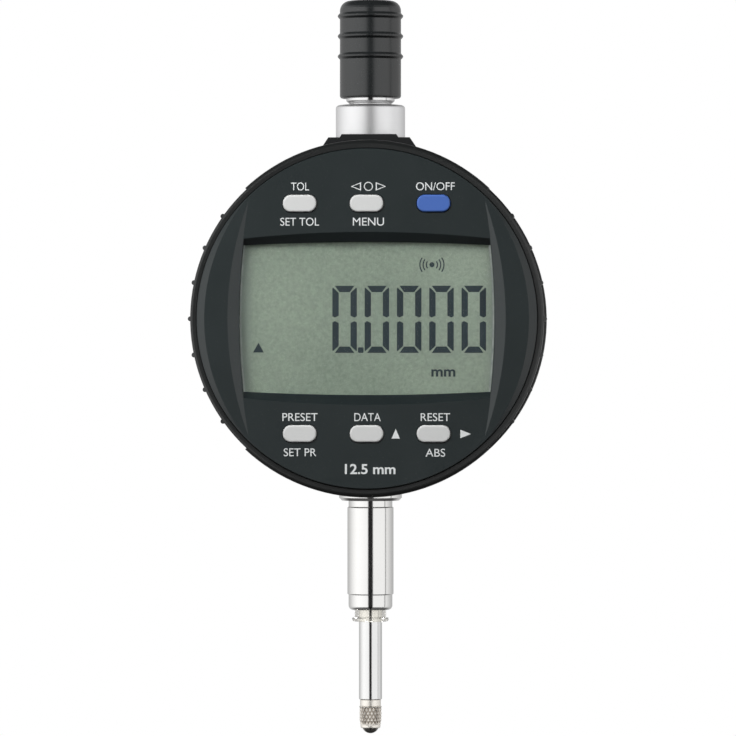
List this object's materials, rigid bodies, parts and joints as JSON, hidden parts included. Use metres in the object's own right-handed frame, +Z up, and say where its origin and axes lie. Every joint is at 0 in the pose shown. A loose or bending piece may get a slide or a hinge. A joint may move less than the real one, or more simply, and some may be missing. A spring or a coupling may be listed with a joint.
{
  "type": "digital dial indicator",
  "caption": "Digital dial indicator with a round case, a swivelling display head with keys, a cylindrical clamping stem and a sprung measuring spindle with a ball contact.",
  "frame": {"origin": "on the spindle axis, in the middle of the 8 mm clamping stem's ground length", "axes": "+Z up along the spindle away from the contact point, -Y out of the display, +X to the right of someone reading it"},
  "size_m": [0.0612, 0.0265, 0.1269],
  "materials": {
    "housing_plastic": "moulded, fine grain",
    "cover_metal": "fine texture powder coat",
    "hatch_plastic": "moulded, fine grain",
    "seal_rubber": "matte",
    "screw_steel": "zinc plated",
    "battery_steel": "nickel plated",
    "inner_plastic": "moulded",
    "spring_steel": "bright",
    "chassis_aluminium": "die cast, bead blasted",
    "carrier_aluminium": "machined",
    "stem_steel": "ground",
    "bush_bronze": "turned",
    "wiper_plastic": "moulded",
    "collar_steel": "turned, satin",
    "insert_steel": "turned",
    "cap_plastic": "moulded, semi-gloss",
    "spindle_steel": "hardened and ground",
    "circuit_board": "solder resist",
    "chip_plastic": "moulded",
    "connector_plastic": "moulded",
    "ribbon_film": "polyimide film",
    "glide_plastic": "filled acetal",
    "ring_plastic": "moulded, fine grain",
    "face_plastic": "moulded, fine grain",
    "window_clear": "clear, polished",
    "lcd_cell": "reflective display, satin polariser",
    "lcd_back_glass": "clear",
    "reflector_foil": "satin foil",
    "zebra_rubber": "layered",
    "shield_steel": "tin plated",
    "contact_steel": "turned and knurled",
    "ball_carbide": "polished hard metal",
    "scale_glass": "graduated glass",
    "key_grey": "moulded, satin",
    "key_blue": "moulded, satin",
    "print_white": "screen print",
    "segment_dark": "display segment",
    "print_black": "screen print"
  },
  "bodies": {
    "base": {"rear_housing": "housing_plastic", "back_cover": "cover_metal", "back_cover_gasket": "seal_rubber", "back_cover_screws": "screw_steel", "battery_cover": "hatch_plastic", "battery_cover_oring": "seal_rubber", "battery": "battery_steel", "battery_cradle": "inner_plastic", "battery_contacts": "spring_steel", "chassis_frame": "chassis_aluminium", "chassis_screws": "screw_steel", "stem": "stem_steel", "lower_guide_bush": "bush_bronze", "wiper_seal": "wiper_plastic", "upper_collar": "collar_steel", "upper_guide_bush": "bush_bronze", "cap_insert": "insert_steel", "protective_cap": "cap_plastic", "anti_rotation_rod": "spindle_steel", "lower_buffer": "seal_rubber", "upper_buffer": "seal_rubber", "return_spring": "spring_steel", "sensor_board": "circuit_board", "sensor_board_screws": "screw_steel", "read_head": "chip_plastic", "sensor_connector": "connector_plastic", "ribbon_cable": "ribbon_film", "swivel_glide_ring": "glide_plastic", "swivel_friction_oring": "seal_rubber", "swivel_thrust_washer": "glide_plastic", "swivel_retaining_ring": "spring_steel"},
    "display_head": {"head_shell": "ring_plastic", "face_panel": "face_plastic", "head_screws": "screw_steel", "end_stop_pin": "spindle_steel", "display_window": "window_clear", "lcd_front_glass": "lcd_cell", "lcd_rear_glass": "lcd_back_glass", "lcd_reflector": "reflector_foil", "lcd_frame": "inner_plastic", "zebra_strips": "zebra_rubber", "display_board": "circuit_board", "controller_chip": "chip_plastic", "radio_module": "shield_steel", "display_connector": "connector_plastic", "dome_switches": "spring_steel"},
    "spindle_assembly": {"spindle": "spindle_steel", "contact_point": "contact_steel", "contact_ball": "ball_carbide", "scale_carrier": "carrier_aluminium", "carrier_screws": "screw_steel", "glass_scale": "scale_glass"},
    "key_tolerance": {"button_tolerance": "key_grey"},
    "key_menu": {"button_menu": "key_grey"},
    "key_power": {"button_power": "key_blue"},
    "key_preset": {"button_preset": "key_grey"},
    "key_data": {"button_data": "key_grey"},
    "key_reset": {"button_reset": "key_grey"}
  },
  "joints": [
    {"name": "spindle_slide", "type": "slide", "parent": "base", "child": "spindle_assembly", "axis": [0, 0, 1], "range_m": [0, 0.0125], "stiffness_N_per_m": 20, "springref_m": -0.0325, "deforming": ["return_spring"]},
    {"name": "head_swivel", "type": "hinge", "parent": "base", "child": "display_head", "pos_m": [0, 0, 0.04], "axis": [0, 1, 0], "range_deg": [-90, 180], "deforming": ["ribbon_cable"]},
    {"name": "press_tolerance", "type": "slide", "parent": "display_head", "child": "key_tolerance", "axis": [0, 1, 0], "range_m": [0, 0.00035], "stiffness_N_per_m": 2500, "springref_m": -0.0002},
    {"name": "press_menu", "type": "slide", "parent": "display_head", "child": "key_menu", "axis": [0, 1, 0], "range_m": [0, 0.00035], "stiffness_N_per_m": 2500, "springref_m": -0.0002},
    {"name": "press_power", "type": "slide", "parent": "display_head", "child": "key_power", "axis": [0, 1, 0], "range_m": [0, 0.00035], "stiffness_N_per_m": 2500, "springref_m": -0.0002},
    {"name": "press_preset", "type": "slide", "parent": "display_head", "child": "key_preset", "axis": [0, 1, 0], "range_m": [0, 0.00035], "stiffness_N_per_m": 2500, "springref_m": -0.0002},
    {"name": "press_data", "type": "slide", "parent": "display_head", "child": "key_data", "axis": [0, 1, 0], "range_m": [0, 0.00035], "stiffness_N_per_m": 2500, "springref_m": -0.0002},
    {"name": "press_reset", "type": "slide", "parent": "display_head", "child": "key_reset", "axis": [0, 1, 0], "range_m": [0, 0.00035], "stiffness_N_per_m": 2500, "springref_m": -0.0002}
  ]
}
